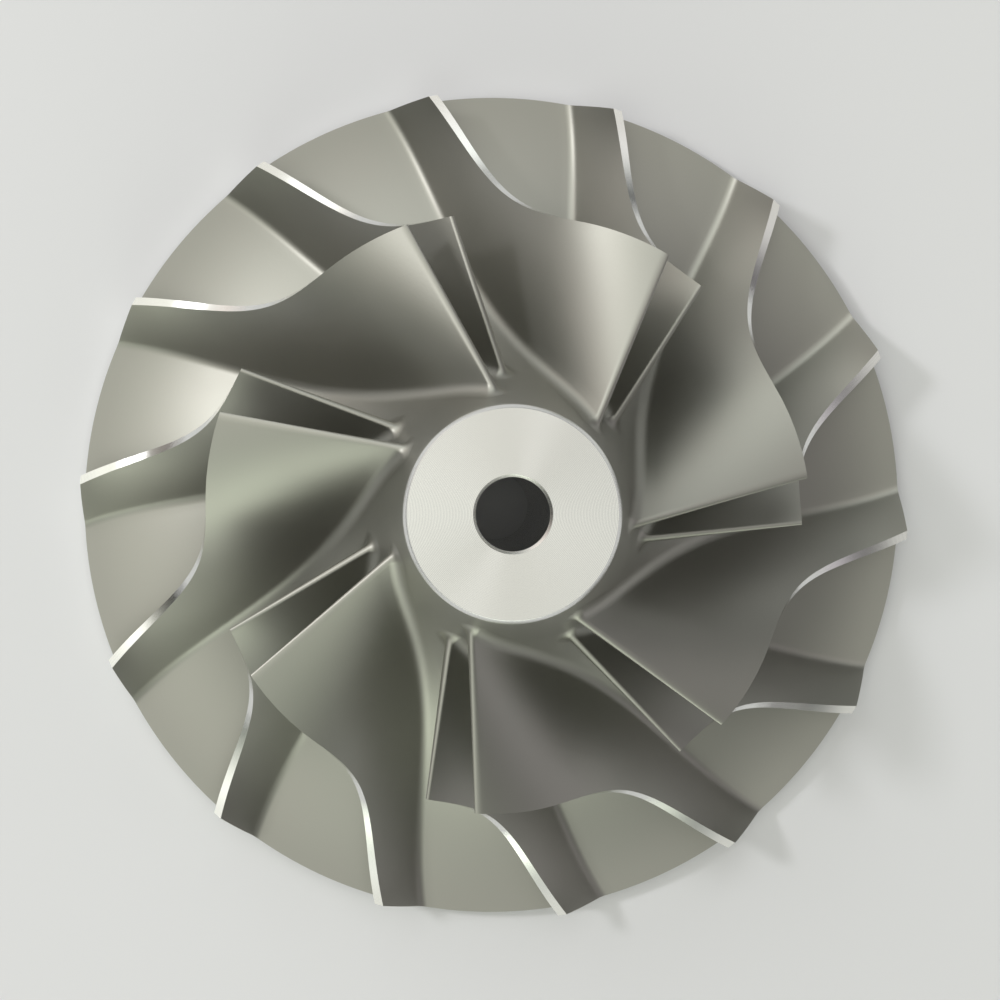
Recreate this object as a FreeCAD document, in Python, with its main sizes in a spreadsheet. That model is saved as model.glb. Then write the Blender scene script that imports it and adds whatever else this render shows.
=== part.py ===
import FreeCAD, Part

import math
import os

import Sketcher
from FreeCAD import Vector

# A radial compressor wheel: one aluminium casting with long blades and, half way between
# them, shorter splitter blades.  It is turned on the contour of its blade tips, on its
# nose, its back boss and its bore.
# The wheel stands on its back boss.  +Z is its axis, towards the nose at the air inlet, and
# the origin is the centre of the boss face.  Lengths are in millimetres, angles in degrees.

doc = FreeCAD.newDocument("compressor_wheel")

# ------------------------------------------------------------------ driving dimensions
DIMENSIONS = [
    # disc, hub and back
    ("wheel_radius", 49.0, "outer radius of the disc and the blades"),
    ("deck_height", 2.4, "height of the disc's upper face at the rim"),
    ("rim_thickness", 1.6, "thickness of the disc at the rim"),
    ("boss_radius", 13.0, "radius of the back boss"),
    ("nose_radius", 11.8, "radius of the flat nose"),
    ("nose_height", 34.2, "height of the nose face above the back boss"),
    ("hub_foot", 22.0, "radius where the nose's cone would meet the disc"),
    ("hub_round", 36.0, "radius of the hub's sweep from the nose to the disc"),
    ("bore_radius", 4.0, "radius of the shaft bore"),
    ("nose_chamfer", 0.4, "chamfer round the nose face"),
    ("bore_chamfer", 0.3, "chamfer at the bore's upper mouth"),
    # turned contour over the blade tips
    ("inlet_radius", 33.5, "radius of the blade tips at the inlet"),
    ("inlet_height", 26.7, "height of the blade tips at the inlet"),
    ("outlet_height", 7.9, "height of the blade tips at the outlet"),
    ("tip_round", 14.5, "radius of the contour between inlet and outlet"),
    ("stock", 1.5, "allowance that turning takes off the cast blades and disc"),
    ("least_flat", 0.5, "least flat that a round leaves at the rim"),
    # blades
    ("blade_pairs", 7, "number of long blades, and of splitters"),
    ("inlet_setback", 3.9, "distance along the hub from the nose to the long blades"),
    ("split_hub", 0.12, "share of the long blade's hub edge that a splitter leaves out"),
    ("split_tip", 0.149, "share of the long blade's tip edge that a splitter leaves out"),
    ("hub_wrap", 156.6, "angle at which the first blade's upper side meets the rim"),
    ("tip_wrap", 151.0, "angle at which its tip edge ends above the rim"),
    ("thick_hub_inlet", 1.0, "thickness at the hub, at the inlet"),
    ("thick_hub_outlet", 1.3, "thickness at the hub, at the outlet"),
    ("thick_tip_inlet", 0.45, "thickness at the tip, at the inlet"),
    ("thick_tip_outlet", 0.62, "thickness at the tip, at the outlet"),
    ("root_depth", 0.4, "depth to which a blade reaches into the hub"),
    # blade angle from the meridian at four control places from the inlet to the outlet
    ("hub_angle_one", 43.0, "hub, inlet"),
    ("hub_angle_two", 29.0, "hub, fore"),
    ("hub_angle_three", -2.0, "hub, aft"),
    ("hub_angle_four", 17.5, "hub, outlet"),
    ("tip_angle_one", 75.4, "tip, inlet"),
    ("tip_angle_two", 27.9, "tip, fore"),
    ("tip_angle_three", 19.3, "tip, aft"),
    ("tip_angle_four", 28.7, "tip, outlet"),
]
sheet = doc.addObject("Spreadsheet::Sheet", "dims")
for row, (name, number, meaning) in enumerate(DIMENSIONS, 1):
    sheet.set("A%d" % row, meaning)
    sheet.set("B%d" % row, str(number))
    sheet.setAlias("B%d" % row, name)
doc.recompute()


def size(words):
    """Number that a sum of the sheet's names stands for, such as "nose_height - hub_fall"."""
    total, sign = 0.0, 1.0
    for word in words.split():
        if word in ("+", "-"):
            sign = 1.0 if word == "+" else -1.0
        else:
            total += sign * (float(word) if word[0].isdigit() else float(getattr(sheet, word)))
    return total


def bound(words):
    """The same sum as an expression that FreeCAD keeps up to date."""
    return " ".join(word if word in ("+", "-") or word[0].isdigit() else "dims." + word
                    for word in words.split())


def point(corner):
    """A corner given as (radius, height) in the sheet's words, as a point of the sketch plane."""
    return Vector(size(corner[0]), size(corner[1]), 0)


# ------------------------------------------------------------------ turned solids
def full_turn(body, name, corners):
    """Solid that a closed outline of lines sweeps in a full turn round the wheel's axis."""
    sketch = body.newObject("Sketcher::SketchObject", name + "_section")
    upright = [f for f in body.Origin.OriginFeatures if f.Role == "YZ_Plane"][0]
    sketch.AttachmentSupport = [(upright, "")]
    sketch.MapMode = "FlatFace"
    ends = [point(corner) for corner in corners]
    for start, finish in zip(ends, ends[1:] + ends[:1]):
        sketch.addGeometry(Part.LineSegment(start, finish), False)
    for side, corner in enumerate(corners):
        sketch.addConstraint(Sketcher.Constraint("Coincident", (side or len(corners)) - 1, 2, side, 1))
        for kind, words in zip(("DistanceX", "DistanceY"), corner):
            number = sketch.addConstraint(Sketcher.Constraint(kind, -1, 1, side, 1, size(words)))
            sketch.setExpression("Constraints[%d]" % number, bound(words))
    feature = body.newObject("PartDesign::Revolution", name + "_turn")
    feature.Profile = sketch
    feature.ReferenceAxis = (sketch, ["V_Axis"])
    feature.Angle = 360
    doc.recompute()
    return feature


def round_corner(body, base, path, radius):
    """Rounds the circular edge that the middle corner of a path swept, and gives the radius.
    The path's second leg is level, and where it is short the radius gives way to it."""
    spot = point(path[1])
    edges = ["Edge%d" % n for n, edge in enumerate(base.Shape.Edges, 1)
             if isinstance(edge.Curve, Part.Circle)
             and abs(edge.Curve.Radius - spot.x) + abs(edge.Curve.Center.z - spot.y) < 1e-6]
    fillet = body.newObject("PartDesign::Fillet", radius + "_fillet")
    fillet.Base = (base, edges)
    start, corner, finish = [["(%s)" % bound(words) for words in place] for place in path]
    run = "(%s - %s)" % (corner[0], start[0])
    fall = "(%s - %s)" % (start[1], corner[1])
    leg = "(%s - %s - dims.least_flat)" % (finish[0], corner[0])
    fillet.setExpression("Radius", "min(%s; %s * %s / (sqrt(%s ^ 2 + %s ^ 2) - %s))"
                         % (bound(radius), leg, fall, run, fall, run))
    doc.recompute()
    return fillet.Radius.Value


# Hub and disc as cast, with the nose's cone swept into the disc by one large round.
HUB_PATH = [("nose_radius", "nose_height - nose_chamfer"),
            ("hub_foot", "deck_height"),
            ("wheel_radius", "deck_height")]
hub = doc.addObject("PartDesign::Body", "hub_blank")
hub_turn = full_turn(hub, "hub", [
    ("bore_radius", "0"),
    ("bore_radius", "nose_height - bore_chamfer"),
    ("bore_radius + bore_chamfer", "nose_height"),
    ("nose_radius - nose_chamfer", "nose_height"),
    HUB_PATH[0],
    HUB_PATH[1],
    ("wheel_radius + stock", "deck_height"),
    ("wheel_radius + stock", "deck_height - rim_thickness"),
    ("boss_radius", "deck_height - rim_thickness"),
    ("boss_radius", "0"),
])
hub_radius = round_corner(hub, hub_turn, HUB_PATH, "hub_round")

# What the lathe takes off: all that lies outside the contour of the blade tips and the rim.
TIP_PATH = [("inlet_radius", "inlet_height"),
            ("inlet_radius", "outlet_height"),
            ("wheel_radius", "outlet_height")]
swarf = doc.addObject("PartDesign::Body", "swarf")
swarf_turn = full_turn(swarf, "swarf", [
    TIP_PATH[1],
    TIP_PATH[2],
    ("wheel_radius", "0"),
    ("wheel_radius + stock + stock", "0"),
    ("wheel_radius + stock + stock", "nose_height"),
    ("inlet_radius", "nose_height"),
])
tip_radius = round_corner(swarf, swarf_turn, TIP_PATH, "tip_round")

# ------------------------------------------------------------------ free-form faces
CELLS = 5        # knot spans across a free-form face, so that its facets come out even


def even_cells(face, cells_along):
    """Face of the same free-form surface with even knots across it, and along it as asked."""
    surface = face.Surface
    surface.increaseDegree(max(surface.UDegree, 2), max(surface.VDegree, 2))
    u_start, u_end, v_start, v_end = surface.bounds()
    for n in range(1, CELLS):
        surface.insertVKnot(v_start + (v_end - v_start) * n / CELLS, 1, 1e-9, False)
    for n in range(1, cells_along):
        surface.insertUKnot(u_start + (u_end - u_start) * n / cells_along, 1, 1e-9, False)
    return surface.toShape()


# The hub's sweep is free-form as well, so the blank is sewn up again round such a face.
hub_faces = []
for face in hub.Shape.Faces:
    if isinstance(face.Surface, Part.Toroid):
        face = even_cells(face.toNurbs().Faces[0], 2 * int(size("blade_pairs")))
    hub_faces.append(face)
hub_shell = Part.makeShell(hub_faces)
hub_shell.sewShape()
hub_core = doc.addObject("Part::Feature", "hub_core")
hub_core.Shape = Part.makeSolid(hub_shell)

# ------------------------------------------------------------------ blades as cast
STEPS = 240      # pieces into which a guide curve is cut to add up its length
STATIONS = 13    # places along a blade at which its section is laid out


def along(controls, share):
    """Point or number on the Bezier curve of these controls, share going from 0 to 1."""
    while len(controls) > 1:
        controls = [a + (b - a) * share for a, b in zip(controls, controls[1:])]
    return controls[0]


def rounded_path(corners, setback, radius):
    """Two straight legs with a tangent arc between, in the plane of radius and height; the
    path starts at distance setback along its first leg."""
    start, corner, finish = [point(spot) for spot in corners]
    back, ahead = (start - corner).normalize(), (finish - corner).normalize()
    start -= back * setback
    half = back.getAngle(ahead) / 2
    inner = corner + back * (radius / math.tan(half))
    outer = corner + ahead * (radius / math.tan(half))
    middle = corner + (back + ahead).normalize() * (radius / math.sin(half) - radius)
    return Part.Wire([Part.makeLine(start, inner), Part.Arc(inner, middle, outer).toShape(),
                      Part.makeLine(outer, finish)])


class BladeEdge:
    """Edge of a blade's upper side on the surface that a path sweeps round the axis.

    The edge follows the path at the blade angle, so its angle round the axis grows by
    tan(blade angle) * length / radius, up to wrap at the rim."""

    def __init__(self, path, angles, wrap):
        self.length = path.Length
        self.line = path.discretize(Number=STEPS + 1)
        rate = [math.tan(math.radians(along(angles, n / STEPS))) / spot.x
                for n, spot in enumerate(self.line)]
        self.turn = [math.radians(wrap)]
        for late, early in zip(rate[:0:-1], rate[-2::-1]):
            self.turn.insert(0, self.turn[0] - (late + early) / 2 * self.length / STEPS)

    def at(self, share):
        """Point at a share of the edge's length; past 1 the edge runs on beyond the rim."""
        n = max(0, min(STEPS - 1, int(share * STEPS)))
        rest = share * STEPS - n
        spot = self.line[n] + (self.line[n + 1] - self.line[n]) * rest
        angle = self.turn[n] + (self.turn[n + 1] - self.turn[n]) * rest
        return Vector(spot.x * math.cos(angle), spot.x * math.sin(angle), spot.y)

    def course(self, share):
        """Direction of the edge there."""
        return (self.at(share + 0.5 / STEPS) - self.at(share - 0.5 / STEPS)).normalize()


def blade_angles(edge):
    return [size("%s_angle_%s" % (edge, place)) for place in ("one", "two", "three", "four")]


hub_edge = BladeEdge(rounded_path(HUB_PATH, size("inlet_setback"), hub_radius),
                     blade_angles("hub"), size("hub_wrap"))
tip_edge = BladeEdge(rounded_path(TIP_PATH, 0.0, tip_radius),
                     blade_angles("tip"), size("tip_wrap"))


def station(hub_share, tip_share):
    """The four corners of a blade's section there: root and stock edge of its upper side,
    then of its lower side."""
    foot, head = hub_edge.at(hub_share), tip_edge.at(tip_share)
    reach = (head - foot).normalize()
    hub_thick = along([size("thick_hub_inlet"), size("thick_hub_outlet")], hub_share)
    tip_thick = along([size("thick_tip_inlet"), size("thick_tip_outlet")], tip_share)
    foot_across = hub_edge.course(hub_share).cross(reach).normalize() * hub_thick
    head_across = tip_edge.course(tip_share).cross(reach).normalize() * tip_thick
    root, top = foot - reach * size("root_depth"), head + reach * size("stock")
    return root, top, root + foot_across, top + head_across


def blade(hub_start, tip_start):
    """Solid blade that starts at these shares of the two edges and runs past the rim."""
    hub_end = 1 + size("stock") / hub_edge.length
    tip_end = 1 + size("stock") / tip_edge.length
    shares = [n / (STATIONS - 1) for n in range(STATIONS)]
    rows = zip(*[station(along([hub_start, hub_end], s), along([tip_start, tip_end], s)) for s in shares])
    rails = []
    for row in rows:
        rail = Part.BSplineCurve()
        rail.interpolate(Points=list(row), Parameters=shares)
        rails.append(rail)
    upper_root, upper_tip, lower_root, lower_tip = rails
    ring = [upper_root, upper_tip, lower_tip, lower_root]
    faces = [Part.makeRuledSurface(a.toShape(), b.toShape()) for a, b in zip(ring, ring[1:] + ring[:1])]
    for side in (0, 2):
        faces[side] = even_cells(faces[side], 1)
    for share in (0.0, 1.0):
        ends = [rail.value(share) for rail in ring]
        faces.append(Part.makeRuledSurface(Part.LineSegment(ends[0], ends[1]).toShape(),
                                           Part.LineSegment(ends[3], ends[2]).toShape()))
    shell = Part.makeShell(faces)
    shell.sewShape()
    solid = Part.makeSolid(shell)
    if solid.Volume < 0:
        solid.reverse()
    return solid


pairs = int(size("blade_pairs"))
cast_blades = []
for kind, shape, place in (("long_blade", blade(0.0, 0.0), 0.0),
                           ("splitter", blade(size("split_hub"), size("split_tip")), 0.5)):
    for number in range(pairs):
        piece = doc.addObject("Part::Feature", "%s_%d" % (kind, number + 1))
        piece.Shape = shape
        piece.Placement = FreeCAD.Placement(
            Vector(), FreeCAD.Rotation(Vector(0, 0, 1), -360.0 * (number + place) / pairs))
        cast_blades.append(piece)

casting = doc.addObject("Part::MultiFuse", "casting")
casting.Shapes = [hub_core] + cast_blades

wheel = doc.addObject("Part::Cut", "turned_wheel")
wheel.Base = casting
wheel.Tool = swarf
wheel.Label = "compressor_wheel"
doc.recompute()

# ------------------------------------------------------------------ checks and export
for item in doc.Objects:
    if "Invalid" in item.State or "Error" in item.State:
        raise RuntimeError("failed: " + item.Label)
SUB_PARTS = [wheel]
os.makedirs("parts", exist_ok=True)
for item in SUB_PARTS:
    if item.Shape.isNull() or not item.Shape.isValid() or len(item.Shape.Solids) != 1:
        raise RuntimeError("not one valid solid: " + item.Label)
    item.Shape.exportStep("parts/%s.step" % item.Label)
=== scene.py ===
import math

import bmesh
import bpy
import numpy as np
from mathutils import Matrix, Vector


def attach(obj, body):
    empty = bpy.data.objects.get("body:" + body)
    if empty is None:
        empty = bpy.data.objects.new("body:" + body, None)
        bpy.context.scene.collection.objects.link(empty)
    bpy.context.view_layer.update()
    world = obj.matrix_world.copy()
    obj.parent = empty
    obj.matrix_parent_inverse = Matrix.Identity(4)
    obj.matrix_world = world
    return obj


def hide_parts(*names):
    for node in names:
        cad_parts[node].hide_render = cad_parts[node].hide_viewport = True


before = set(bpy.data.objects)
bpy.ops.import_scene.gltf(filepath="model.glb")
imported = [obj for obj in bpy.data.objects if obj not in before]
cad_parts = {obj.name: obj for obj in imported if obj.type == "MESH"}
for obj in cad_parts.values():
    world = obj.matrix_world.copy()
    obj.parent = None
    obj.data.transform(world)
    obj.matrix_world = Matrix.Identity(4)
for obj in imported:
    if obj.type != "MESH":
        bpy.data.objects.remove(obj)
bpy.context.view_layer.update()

# ------------------------------------------------------------------ the wheel's own lines
# The wheel is one aluminium casting.  Its hub sweeps from the nose into the disc, and the
# blades stand between that sweep and the contour on which the lathe cuts their tips.  Both
# are a straight leg, a tangent arc and a straight leg in the plane of radius and height.
# Lengths in this section are millimetres.
WHEEL_RADIUS = 49.0
DECK_HEIGHT = 2.4
DISC_UNDERSIDE = 0.8
NOSE_RADIUS, NOSE_HEIGHT, NOSE_CHAMFER = 11.8, 34.2, 0.4
BORE_RADIUS, BORE_CHAMFER = 4.0, 0.3
BOSS_RADIUS = 13.0
HUB_CORNER, HUB_ROUND = 22.0, 36.0     # radius at which the hub's two legs meet, and its arc
INLET_RADIUS, INLET_HEIGHT = 33.5, 26.7
OUTLET_HEIGHT, TIP_ROUND = 7.9, 14.5
BLADE_PAIRS = 7
PITCH = math.pi / BLADE_PAIRS          # angle from a long blade to the next splitter
LAW_STEPS = 2000                       # steps over which the blade's turn is added up


class TurnedLine:
    """Line that the casting's core or the lathe follows, in (radius, height).

    With unit vectors first and second along the legs, and side square to first on the
    centre's side, the arc's point at angle a is centre + radius (first sin a - side cos a)."""

    def __init__(self, start, corner, finish, radius):
        start, corner, finish = (np.array(spot, float) for spot in (start, corner, finish))
        self.first = (corner - start) / np.linalg.norm(corner - start)
        self.second = (finish - corner) / np.linalg.norm(finish - corner)
        self.sweep = math.acos(self.first @ self.second)
        cut = radius * math.tan(self.sweep / 2)
        side = self.second - self.first * (self.second @ self.first)
        self.side = side / np.linalg.norm(side)
        self.radius = radius
        self.lead = np.linalg.norm(corner - start) - cut
        self.centre = start + self.first * self.lead + self.side * radius
        self.length = self.lead + radius * self.sweep + np.linalg.norm(finish - corner) - cut

    def arc_point(self, angle):
        sine, cosine = np.sin(angle)[..., None], np.cos(angle)[..., None]
        return (self.centre + self.radius * (self.first * sine - self.side * cosine),
                self.first * cosine + self.side * sine, self.side * cosine - self.first * sine)

    def at(self, along):
        """Point at a length along the line; the legs run on straight past both ends."""
        along = np.asarray(along, float)
        past = along - self.lead
        point = self.arc_point(np.clip(past / self.radius, 0, self.sweep))[0]
        return (point + self.first * np.minimum(past, 0)[..., None]
                + self.second * np.maximum(past - self.radius * self.sweep, 0)[..., None])

    def measure(self, point):
        """Length along the line of the nearest place to a point, and the point's height
        over the line, which is positive on the centre's side."""
        out = point - self.centre
        angle = np.clip(np.arctan2(out @ self.first, -(out @ self.side)), 0, self.sweep)
        foot, tangent, normal = self.arc_point(angle)
        out = point - foot
        return (self.lead + self.radius * angle + (out * tangent).sum(-1), (out * normal).sum(-1))

    def tangent(self, along):
        return self.arc_point(np.clip((along - self.lead) / self.radius, 0, self.sweep))[1]


hub_line = TurnedLine((NOSE_RADIUS, NOSE_HEIGHT - NOSE_CHAMFER), (HUB_CORNER, DECK_HEIGHT),
                      (WHEEL_RADIUS, DECK_HEIGHT), HUB_ROUND)
tip_line = TurnedLine((INLET_RADIUS, INLET_HEIGHT), (INLET_RADIUS, OUTLET_HEIGHT),
                      (WHEEL_RADIUS, OUTLET_HEIGHT), TIP_ROUND)


def turned(line_point, angle):
    """Points in space of (radius, height) points turned to an angle round the axis."""
    radius, height = line_point[..., 0], line_point[..., 1]
    angle, radius, height = np.broadcast_arrays(angle, radius, height)
    return np.stack([radius * np.cos(angle), radius * np.sin(angle), height], -1)


def unturned(point):
    """(radius, height) of points in space, and their angle round the axis."""
    return (np.stack([np.hypot(point[..., 0], point[..., 1]), point[..., 2]], -1),
            np.arctan2(point[..., 1], point[..., 0]))


def unit(vector):
    return vector / np.linalg.norm(vector, axis=-1, keepdims=True)


class BladeEdge:
    """Edge of the blades' upper side on a turned line.

    The blade angle b from the meridian is a cubic Bezier curve of the share of the edge, and
    the turn round the axis grows by tan(b) dm / r, up to the given turn at the rim."""

    def __init__(self, line, setback, angles, turn_at_rim):
        self.line, self.setback, self.length = line, setback, line.length - setback
        self.share = t = np.linspace(0, 1, LAW_STEPS + 1)
        a, b, c, d = angles
        angle = a * (1 - t) ** 3 + 3 * b * t * (1 - t) ** 2 + 3 * c * t ** 2 * (1 - t) + d * t ** 3
        radius = line.at(setback + t * self.length)[:, 0]
        self.rate = np.tan(np.radians(angle)) / radius
        steps = (self.rate[1:] + self.rate[:-1]) / 2 * self.length / LAW_STEPS
        self.turn = math.radians(turn_at_rim) - np.append(np.cumsum(steps[::-1])[::-1], 0)

    def turn_at(self, share):
        inside = np.clip(share, 0, 1)
        over = (share - inside) * self.length
        return (np.interp(inside, self.share, self.turn)
                + over * np.where(over < 0, self.rate[0], self.rate[-1]))

    def at(self, share):
        return turned(self.line.at(self.setback + share * self.length), self.turn_at(share))

    def course(self, share):
        return unit(self.at(share + 0.002) - self.at(share - 0.002))


INLET_SETBACK = 3.9                    # from the nose to the long blades, along the hub
HUB_ANGLES, HUB_WRAP = (43.0, 29.0, -2.0, 17.5), 156.6
TIP_ANGLES, TIP_WRAP = (75.4, 27.9, 19.3, 28.7), 151.0
hub_edge = BladeEdge(hub_line, INLET_SETBACK, HUB_ANGLES, HUB_WRAP)
tip_edge = BladeEdge(tip_line, 0.0, TIP_ANGLES, TIP_WRAP)

# ------------------------------------------------------------------ one blade
# A blade is a thin wall with straight rulings from the hub to its turned tip.  Its leading
# edge is rounded, and a fillet left by the casting pattern runs right round its root.
STOCK = 1.5                       # length that the rulings run on past hub and tip
ROOT_DEPTH = 0.4
ROOT_FILLET = 1.5
HUB_THICKNESS = (1.0, 1.3)        # at the inlet and at the outlet
TIP_THICKNESS = (0.45, 0.62)
ROUNDED_SHARE = 0.0085            # share of a blade's length over which its nose is rounded
NOSE_SPAN = 0.09                  # share of the loop parameter that goes round the nose
ALONG, FILLET_ROWS, WALL_ROWS, TIP_ROWS = 66, 6, 15, 2


class Blade:
    """Blade that starts at these shares of the two edges.

    A section at loop parameter p is one ruling.  p goes from -1 past the rim on the upper
    side, through 0 at the leading edge, to 1 past the rim on the lower side; the ruling lies
    at the share sin(nose angle) of half the thickness from the middle of the wall."""

    def __init__(self, hub_start, tip_start):
        self.hub_span = (hub_start, 1 + STOCK / hub_edge.length)
        self.tip_span = (tip_start, 1 + STOCK / tip_edge.length)

    def ruling(self, p):
        """Lower and upper end of the ruling."""
        size = np.abs(p)
        nose = np.clip(size / NOSE_SPAN, 0, 1) * math.pi / 2
        rest = np.clip((size - NOSE_SPAN) / (1 - NOSE_SPAN), 0, None)
        first = ROUNDED_SHARE * math.pi / 2 / NOSE_SPAN * (1 - NOSE_SPAN) / (1 - ROUNDED_SHARE)
        share = (ROUNDED_SHARE * (1 - np.cos(nose))
                 + (1 - ROUNDED_SHARE) * (first * rest + (1 - first) * rest ** 2))
        over = (1 + np.sign(p) * np.sin(nose))[..., None] / 2
        hub_share = self.hub_span[0] + share * (self.hub_span[1] - self.hub_span[0])
        tip_share = self.tip_span[0] + share * (self.tip_span[1] - self.tip_span[0])
        foot, head = hub_edge.at(hub_share), tip_edge.at(tip_share)
        reach = unit(head - foot)
        hub_thick = HUB_THICKNESS[0] + (HUB_THICKNESS[1] - HUB_THICKNESS[0]) * hub_share
        tip_thick = TIP_THICKNESS[0] + (TIP_THICKNESS[1] - TIP_THICKNESS[0]) * tip_share
        hub_side = unit(np.cross(hub_edge.course(hub_share), reach))
        tip_side = unit(np.cross(tip_edge.course(tip_share), reach))
        low = foot - reach * ROOT_DEPTH + hub_side * hub_thick[..., None] * over
        high = head + reach * STOCK + tip_side * tip_thick[..., None] * over
        return low, high

    def crossing(self, low, high, line, guess):
        """Share of a ruling at which it meets a turned line's surface, by secant steps."""
        def height_at(share):
            return line.measure(unturned(low + (high - low) * share[..., None])[0])[1]

        old, new = guess - 0.02 + np.zeros(low.shape[:-1]), guess + np.zeros(low.shape[:-1])
        height = [height_at(old), height_at(new)]
        for _ in range(6):
            gap = height[1] - height[0]
            step = height[1] * (new - old) / np.where(np.abs(gap) < 1e-12, 1.0, gap)
            old, new = new, new - np.where(np.abs(gap) < 1e-12, 0.0, step)
            height = [height[1], height_at(new)]
        return new

    def foot(self, p):
        """Ruling, its share at the hub, and the foot's length along the hub line and angle."""
        low, high = self.ruling(p)
        share = self.crossing(low, high, hub_line, 0.03)
        line_point, angle = unturned(low + (high - low) * share[..., None])
        return low, high, share, hub_line.measure(line_point)[0], angle

    def skin(self, p, row):
        """Point of the blade's skin: row 0 to 1 is the root fillet, from the hub up, and row
        1 to 2 the wall up to the turned tip.

        The fillet is a cubic Bezier arc tangent to the hub and to the ruling.  On the hub its
        foot lies square to the root's outline, at the tangent length radius / tan(half angle)."""
        p, row = np.broadcast_arrays(p, row)
        low, high, at_hub, along, angle = self.foot(p)
        after, before = self.foot(p + 0.001), self.foot(p - 0.001)
        radius = hub_line.at(along)[..., 0]
        turn = np.angle(np.exp(1j * (after[4] - before[4])))
        course = unit(np.stack([after[3] - before[3], radius * turn], -1))
        away_along, away_round = course[..., 1], -course[..., 0]

        def heading(place, place_angle):
            """Unit vector square to the outline, in the hub's surface, at a place of it."""
            slope = hub_line.tangent(place)
            outward = turned(slope * away_along[..., None], place_angle)
            around = np.stack([-np.sin(place_angle), np.cos(place_angle), 0 * place_angle], -1)
            return outward + around * away_round[..., None]

        rise = unit(high - low)
        half = np.arccos(np.clip((rise * heading(along, angle)).sum(-1), -1, 1)) / 2
        reach = ROOT_FILLET / np.tan(half)
        hold = (4 / 3 * np.tan((math.pi / 2 - half) / 2) * ROOT_FILLET)[..., None]
        hub_along = along + reach * away_along
        hub_angle = angle + reach * away_round / radius
        start = turned(hub_line.at(hub_along), hub_angle)
        root = low + (high - low) * at_hub[..., None]
        finish = root + rise * reach[..., None]
        t = np.clip(row, 0, 1)[..., None]
        fillet = (start * (1 - t) ** 3
                  + 3 * (start - heading(hub_along, hub_angle) * hold) * t * (1 - t) ** 2
                  + 3 * (finish - rise * hold) * t ** 2 * (1 - t) + finish * t ** 3)
        at_tip = self.crossing(low, high, tip_line, 0.9)
        top = low + (high - low) * at_tip[..., None]
        return fillet + (top - finish) * np.clip(row - 1, 0, 1)[..., None]

    def rim_end(self, side, row):
        """Loop parameter at which a row meets the turned rim, by halving."""
        near, far = np.full(row.shape, 0.9), np.full(row.shape, 1.0)
        for _ in range(22):
            middle = (near + far) / 2
            inside = unturned(self.skin(side * middle, row))[0][..., 0] < WHEEL_RADIUS
            near, far = np.where(inside, middle, near), np.where(inside, far, middle)
        return near

    def grids(self):
        """Skin as a grid from the rim of the upper side round to the rim of the lower side,
        and the turned faces of the tip and of the outlet end."""
        row = np.concatenate([np.linspace(0, 1, FILLET_ROWS + 1),
                              np.linspace(1, 2, WALL_ROWS + 1)[1:]])
        share = np.linspace(0, 1, ALONG + 1)[:, None]
        upper = self.skin(-share * self.rim_end(-1, row), row)
        lower = self.skin(share * self.rim_end(1, row), row)
        for edge in (upper[-1], lower[-1]):
            edge[:, :2] *= WHEEL_RADIUS / np.hypot(edge[:, 0], edge[:, 1])[:, None]
        skin = np.concatenate([upper[:0:-1], lower])
        return skin, between(lower[:, -1], upper[:, -1]), between(lower[-1], upper[-1])


def between(first, second):
    """Strip from one row of points to another, in even steps of radius, angle and height."""
    (a, turn_a), (b, turn_b) = unturned(first), unturned(second)
    t = np.linspace(0, 1, TIP_ROWS + 1)[None, :]
    turn = turn_a[:, None] + np.angle(np.exp(1j * (turn_b - turn_a)))[:, None] * t
    return turned(a[:, None] + (b - a)[:, None] * t[..., None], turn)


# ------------------------------------------------------------------ the whole casting
# Seven long blades alternate with seven splitters.  The hub and disc between two of them are
# the floor of a passage.  The nose, the rim, the back and the bore are turned or drilled.
FLOOR_COLUMNS = 14
NOSE_ROWS = 9
CAST, LATHE = 0, 1
SPLITTER_STARTS = (0.12, 0.149)   # shares of the hub and tip edges that a splitter leaves out
WELD = 2e-7                       # metres within which neighbouring grids share a point
CREASE = 32                       # degrees past which an edge stays sharp
patches = []     # (grid of points, kind of finish, whether its faces turn over)


def root_lines(skin):
    """Length along the hub and angle of the fillet's foot, on the upper and lower side, each
    drawn on from the leading edge to the nose on the blades' own course."""
    line_point, angle = unturned(skin[:, 0])
    along = hub_line.measure(line_point)[0]
    angle = np.unwrap(angle)
    tip = len(along) // 2
    lead = np.linspace(0, along[tip], NOSE_ROWS + 1)[:-1]
    law = hub_edge.turn_at((np.append(lead, along[tip]) - hub_edge.setback) / hub_edge.length)
    lead_angle = angle[tip] + law[:-1] - law[-1]
    return [(np.append(lead, along[way]), np.append(lead_angle, angle[way]))
            for way in (slice(tip, None, -1), slice(tip, None))]


long_blade = Blade(0.0, 0.0).grids()
splitter = Blade(*SPLITTER_STARTS).grids()
first_lines, second_lines = root_lines(long_blade[0]), root_lines(splitter[0])
for number, (skin, tip, outlet_end) in enumerate((long_blade, splitter)):
    place = number * PITCH
    spin = np.array([[math.cos(place), -math.sin(place), 0],
                     [math.sin(place), math.cos(place), 0], [0, 0, 1]])
    patches += [(skin @ spin.T, CAST, False), (tip @ spin.T, LATHE, False),
                (outlet_end @ spin.T, LATHE, True)]

# Floor of a passage: even steps from one root's outline to the next, in the hub's surface.
t = np.linspace(0, 1, FLOOR_COLUMNS + 1)
nose_turns, rim_turns = [], []
for place, near, far in ((0.0, first_lines[0], second_lines[1]),
                         (PITCH, second_lines[0], first_lines[1])):
    near_turn, far_turn = near[1], far[1] + PITCH
    far_turn = far_turn - 2 * math.pi * round((far_turn[0] - near_turn[0] - PITCH) / (2 * math.pi))
    along = near[0][:, None] + (far[0] - near[0])[:, None] * t
    angle = place + near_turn[:, None] + (far_turn - near_turn)[:, None] * t
    patches.append((turned(hub_line.at(along), angle), CAST, False))
    nose_turns.append(angle[0, :-1])
    rim_turns.append(angle[-1])

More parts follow.
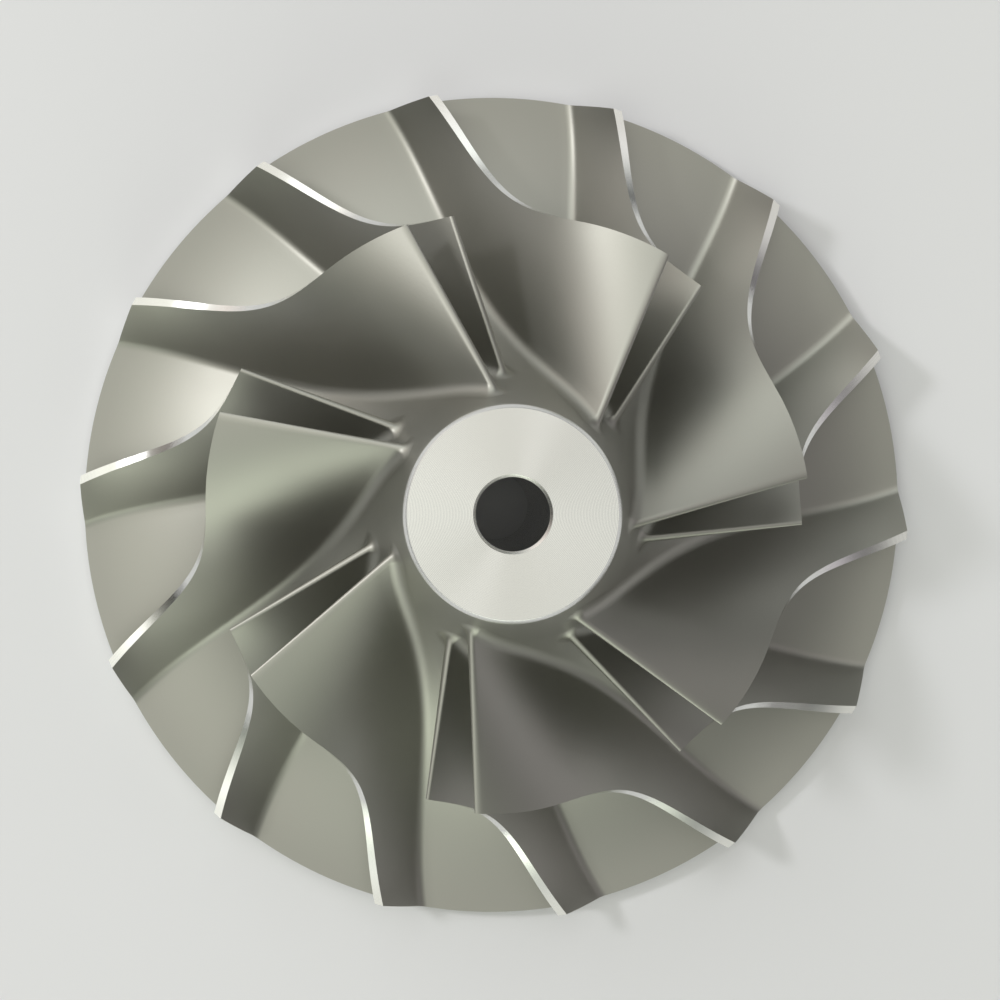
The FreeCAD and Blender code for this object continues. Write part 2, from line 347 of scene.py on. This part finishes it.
# The blades' share of the rim: the lowest row of each outlet end, from lower to upper side.
for place, (_, _, outlet_end) in ((0.0, long_blade), (PITCH, splitter)):
    end_turn = np.unwrap(unturned(outlet_end[0])[1]) + place
    rim_turns.append(end_turn[1:-1])

# Seven sectors make the full turn.
sectors = np.arange(BLADE_PAIRS) * 2 * PITCH
whole = []
for grid, finish, over in patches:
    for place in sectors:
        spin = np.array([[math.cos(place), -math.sin(place), 0],
                         [math.sin(place), math.cos(place), 0], [0, 0, 1]])
        whole.append((grid @ spin.T, finish, over))


def full_circle(turns):
    """All the angles of a ring, in order, from those of one sector."""
    turns = (np.concatenate(turns)[None, :] + sectors[:, None]).ravel() % (2 * math.pi)
    turns = np.sort(turns)
    return turns[np.append(np.diff(turns) > 1e-7, True)]


def ring(profile, turns):
    """Surface that a line of (radius, height) sweeps through the given angles."""
    closed = np.append(turns, turns[0] + 2 * math.pi)
    return turned(np.array(profile, float)[:, None, :], closed[None, :])


nose_turns, rim_turns = full_circle(nose_turns), full_circle(rim_turns)
face = NOSE_RADIUS - NOSE_CHAMFER
mouth = BORE_RADIUS + BORE_CHAMFER
nose = [(NOSE_RADIUS, NOSE_HEIGHT - NOSE_CHAMFER)]
nose += [(r, NOSE_HEIGHT) for r in np.linspace(face, mouth, 7)]
bore = [(BORE_RADIUS, z) for z in np.linspace(NOSE_HEIGHT - BORE_CHAMFER, BORE_CHAMFER, 12)]
foot = [(mouth, 0.0), (6.0, 0.0)]
rim = [(WHEEL_RADIUS, DECK_HEIGHT), (WHEEL_RADIUS, DISC_UNDERSIDE)]
back = [(r, DISC_UNDERSIDE) for r in np.linspace(WHEEL_RADIUS, BOSS_RADIUS, 12)[1:]]
boss = [(BOSS_RADIUS, 0.0), (9.0, 0.0)]
whole += [(ring(nose + bore + foot, nose_turns), LATHE, False),
          (ring(boss[::-1] + back[::-1] + rim[::-1], rim_turns), LATHE, False)]

# Where the boss face's two rings of different spacing meet, each step round the circle adds
# one triangle.
ring_a = turned(np.array(foot[-1]), nose_turns)
ring_b = turned(np.array(boss[-1]), rim_turns)
order = np.argsort(np.append(nose_turns, rim_turns), kind="stable")
from_a = order < len(nose_turns)
at_a, at_b = np.cumsum(from_a) - 1, np.cumsum(~from_a) - 1
stitch = np.where(from_a[:, None],
                  np.stack([(at_a - 1) % len(ring_a), at_a % len(ring_a),
                            len(ring_a) + at_b % len(ring_b)], -1),
                  np.stack([at_a % len(ring_a), len(ring_a) + at_b % len(ring_b),
                            len(ring_a) + (at_b - 1) % len(ring_b)], -1))


def add_wheel(name):
    """One mesh of all the grids, with their shared edges welded."""
    points, faces, finishes, count = [], [], [], 0
    for grid, finish, over in whole:
        rows, columns = grid.shape[:2]
        index = count + np.arange(rows * columns).reshape(rows, columns)
        quads = np.stack([index[:-1, :-1], index[1:, :-1], index[1:, 1:], index[:-1, 1:]], -1)
        points.append(grid.reshape(-1, 3))
        faces.append((quads[..., ::-1] if over else quads).reshape(-1, 4))
        finishes.append(np.full(faces[-1].shape[0], finish))
        count += rows * columns
    points += [ring_a, ring_b]
    mesh = bpy.data.meshes.new(name)
    mesh.from_pydata(np.concatenate(points) * 0.001, [],
                     np.concatenate(faces).tolist() + (stitch + count).tolist())
    mesh.polygons.foreach_set("material_index",
                              np.append(np.concatenate(finishes), np.full(len(stitch), LATHE)))
    work = bmesh.new()
    work.from_mesh(mesh)
    bmesh.ops.remove_doubles(work, verts=work.verts, dist=WELD)
    bmesh.ops.recalc_face_normals(work, faces=work.faces)
    work.to_mesh(mesh)
    work.free()
    mesh.shade_smooth()
    mesh.set_sharp_from_angle(angle=math.radians(CREASE))
    piece = bpy.data.objects.new(name, mesh)
    bpy.context.scene.collection.objects.link(piece)
    return piece


wheel = add_wheel("wheel_casting")
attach(wheel, "root")
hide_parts("compressor_wheel")


# ------------------------------------------------------------------ finishes
# The casting is left as it comes out of its shell mould: satin, faintly mottled, with a fine
# grain.  What the lathe has cut is bright, with fine feed lines round the axis.
class Value:
    """A socket of a node tree, or a number, on which arithmetic adds Math nodes."""

    def __init__(self, tree, socket):
        self.tree, self.socket = tree, socket

    def node(self, kind, inputs=(), output=0, **settings):
        node = self.tree.nodes.new(kind)
        for name, value in settings.items():
            if name == "stops":
                for at, colour in value:
                    stop = (node.color_ramp.elements.new(at) if at not in (0.0, 1.0)
                            else node.color_ramp.elements[int(at)])
                    stop.color = (*colour, 1)
            else:
                setattr(node, name, value)
        for key, value in dict(inputs).items():
            if isinstance(value, Value):
                self.tree.links.new(value.socket, node.inputs[key])
            else:
                node.inputs[key].default_value = value
        return Value(self.tree, node.outputs[output])

    def math(self, operation, *others):
        return self.node("ShaderNodeMath", dict(enumerate((self, *others))), operation=operation)

    def __add__(self, other):
        return self.math("ADD", other)

    def __mul__(self, other):
        return self.math("MULTIPLY", other)

    def __sub__(self, other):
        return self.math("SUBTRACT", other)

    def __rsub__(self, other):
        return (self * -1.0) + other

    __radd__, __rmul__ = __add__, __mul__


def material(name):
    """New material, its shader node and a Value from which other nodes are made."""
    made = bpy.data.materials.new(name)
    made.use_nodes = True
    made.node_tree.nodes.clear()
    tree = made.node_tree
    shader = tree.nodes.new("ShaderNodeBsdfPrincipled")
    output = tree.nodes.new("ShaderNodeOutputMaterial")
    tree.links.new(shader.outputs["BSDF"], output.inputs["Surface"])
    start = tree.nodes.new("ShaderNodeTexCoord")
    return made, shader, Value(tree, start.outputs["Object"])


def feed(shader, **values):
    for key, value in values.items():
        socket = shader.inputs[key.replace("_", " ")]
        if isinstance(value, Value):
            value.tree.links.new(value.socket, socket)
        else:
            socket.default_value = value


cast, shader, place = material("cast_aluminium_skin")
mottle = place.node("ShaderNodeTexNoise", {"Vector": place, "Scale": 90.0, "Detail": 3.0})
grain = place.node("ShaderNodeTexNoise", {"Vector": place, "Scale": 3200.0, "Detail": 2.0})
tint = place.node("ShaderNodeValToRGB", {"Fac": mottle},
                  stops=[(0.0, (0.350, 0.352, 0.322)), (1.0, (0.378, 0.369, 0.342))])
relief = place.node("ShaderNodeBump", {"Strength": 0.12, "Distance": 0.00004, "Height": grain})
feed(shader, Base_Color=tint, Metallic=1.0, Roughness=mottle * 0.08 + 0.42, Normal=relief)

lathe, shader, place = material("turned_aluminium")
split = place.tree.nodes.new("ShaderNodeSeparateXYZ")
place.tree.links.new(place.socket, split.inputs[0])
x, y, z = (Value(place.tree, socket) for socket in split.outputs)
reach = (x * x + y * y).math("SQRT")
lines = ((reach - z) * (2 * math.pi / 0.00016)).math("SINE")
wander = place.node("ShaderNodeTexNoise", {"Vector": place, "Scale": 400.0, "Detail": 2.0})
relief = place.node("ShaderNodeBump", {"Strength": 0.10, "Distance": 0.00002, "Height": lines})
feed(shader, Base_Color=(0.80, 0.80, 0.79, 1), Metallic=1.0, Roughness=wander * 0.06 + 0.22,
     Anisotropic=0.88, Normal=relief)
for finish in (cast, lathe):
    wheel.data.materials.append(finish)

# ------------------------------------------------------------------ table
# A plain pale sheet under the wheel, large enough to fill the view from any side.
def add_table():
    """Flat square of the given half side."""
    half = 3.0
    mesh = bpy.data.meshes.new("table")
    mesh.from_pydata([(-half, -half, 0), (half, -half, 0), (half, half, 0), (-half, half, 0)], [],
                     [(0, 1, 2, 3)])
    piece = bpy.data.objects.new("table", mesh)
    bpy.context.scene.collection.objects.link(piece)
    return piece


table = add_table()
paper, shader, place = material("pale_paper")
soft = place.node("ShaderNodeTexNoise", {"Vector": place, "Scale": 6.0, "Detail": 2.0})
tone = place.node("ShaderNodeValToRGB", {"Fac": soft},
                  stops=[(0.0, (0.705, 0.705, 0.735)), (1.0, (0.725, 0.725, 0.755))])
feed(shader, Base_Color=tone, Roughness=0.8)
table.data.materials.append(paper)

# ------------------------------------------------------------------ light and camera
def add_light(name, place, size, power, colour=(1, 1, 1)):
    """Soft square lamp that faces the wheel."""
    lamp = bpy.data.lights.new(name, "AREA")
    lamp.size, lamp.energy, lamp.color = size, power, colour
    piece = bpy.data.objects.new(name, lamp)
    bpy.context.scene.collection.objects.link(piece)
    piece.location = place
    aim = -np.array(place, float)
    piece.rotation_euler = Vector(aim).to_track_quat("-Z", "Y").to_euler()


# The room round the wheel is seven soft patches of light, brightest towards the upper left,
# and one small window whose light the turned faces gather.  Each patch fades as
# exp(SPREAD (cos(angle from its middle) - 1)).  A row of ROOM holds a patch's azimuth and
# elevation in degrees, then its colour times its strength.
ROOM = [((60, 62), (0.73, 0.70, 0.68)), ((180, 62), (0.67, 0.64, 0.52)),
        ((240, 62), (1.11, 1.15, 1.07)), ((112, 34), (1.70, 1.80, 1.71)),
        ((0, 8), (0.75, 0.71, 0.73)), ((135, 8), (0.83, 0.71, 0.64)),
        ((270, 8), (2.66, 2.84, 2.41))]
SPREAD = 9.0

add_light("window", (-0.62, 0.24, 0.62), 0.12, 2.0)
world = bpy.data.worlds.new("room")
world.use_nodes = True
bpy.context.scene.world = world
surround = world.node_tree.nodes["Background"]
start = world.node_tree.nodes.new("ShaderNodeTexCoord")
sight = Value(world.node_tree, start.outputs["Generated"])
glow = None
for (azimuth, elevation), colour in ROOM:
    around, above = math.radians(azimuth), math.radians(elevation)
    aim = (math.cos(above) * math.cos(around), math.cos(above) * math.sin(around), math.sin(above))
    near = sight.node("ShaderNodeVectorMath", {0: sight, 1: aim}, output="Value",
                      operation="DOT_PRODUCT")
    fade = ((near - 1.0) * SPREAD).math("EXPONENT")
    part = sight.node("ShaderNodeVectorMath", {0: colour, "Scale": fade}, operation="SCALE")
    glow = part if glow is None else sight.node("ShaderNodeVectorMath", {0: glow, 1: part},
                                                operation="ADD")
world.node_tree.links.new(glow.socket, surround.inputs["Color"])

TILT_X, TILT_Y = math.radians(1.361), math.radians(3.522)
STANDOFF = np.array([-0.01115, -0.01595, -5.89536]) * WHEEL_RADIUS * 0.001
turn = (np.array([[1, 0, 0], [0, math.cos(TILT_X), -math.sin(TILT_X)],
                  [0, math.sin(TILT_X), math.cos(TILT_X)]])
        @ np.array([[math.cos(TILT_Y), 0, math.sin(TILT_Y)], [0, 1, 0],
                    [-math.sin(TILT_Y), 0, math.cos(TILT_Y)]]))
lens = bpy.data.cameras.new("camera")
lens.lens, lens.sensor_width = 86.4, 36.0
camera = bpy.data.objects.new("camera", lens)
bpy.context.scene.collection.objects.link(camera)
frame_matrix = np.eye(4)
frame_matrix[:3, :3] = turn.T
frame_matrix[:3, 3] = -turn.T @ STANDOFF + np.array([0, 0, DECK_HEIGHT * 0.001])
camera.matrix_world = Matrix(frame_matrix.tolist())
bpy.context.scene.camera = camera
bpy.context.scene.view_settings.view_transform = "Standard"
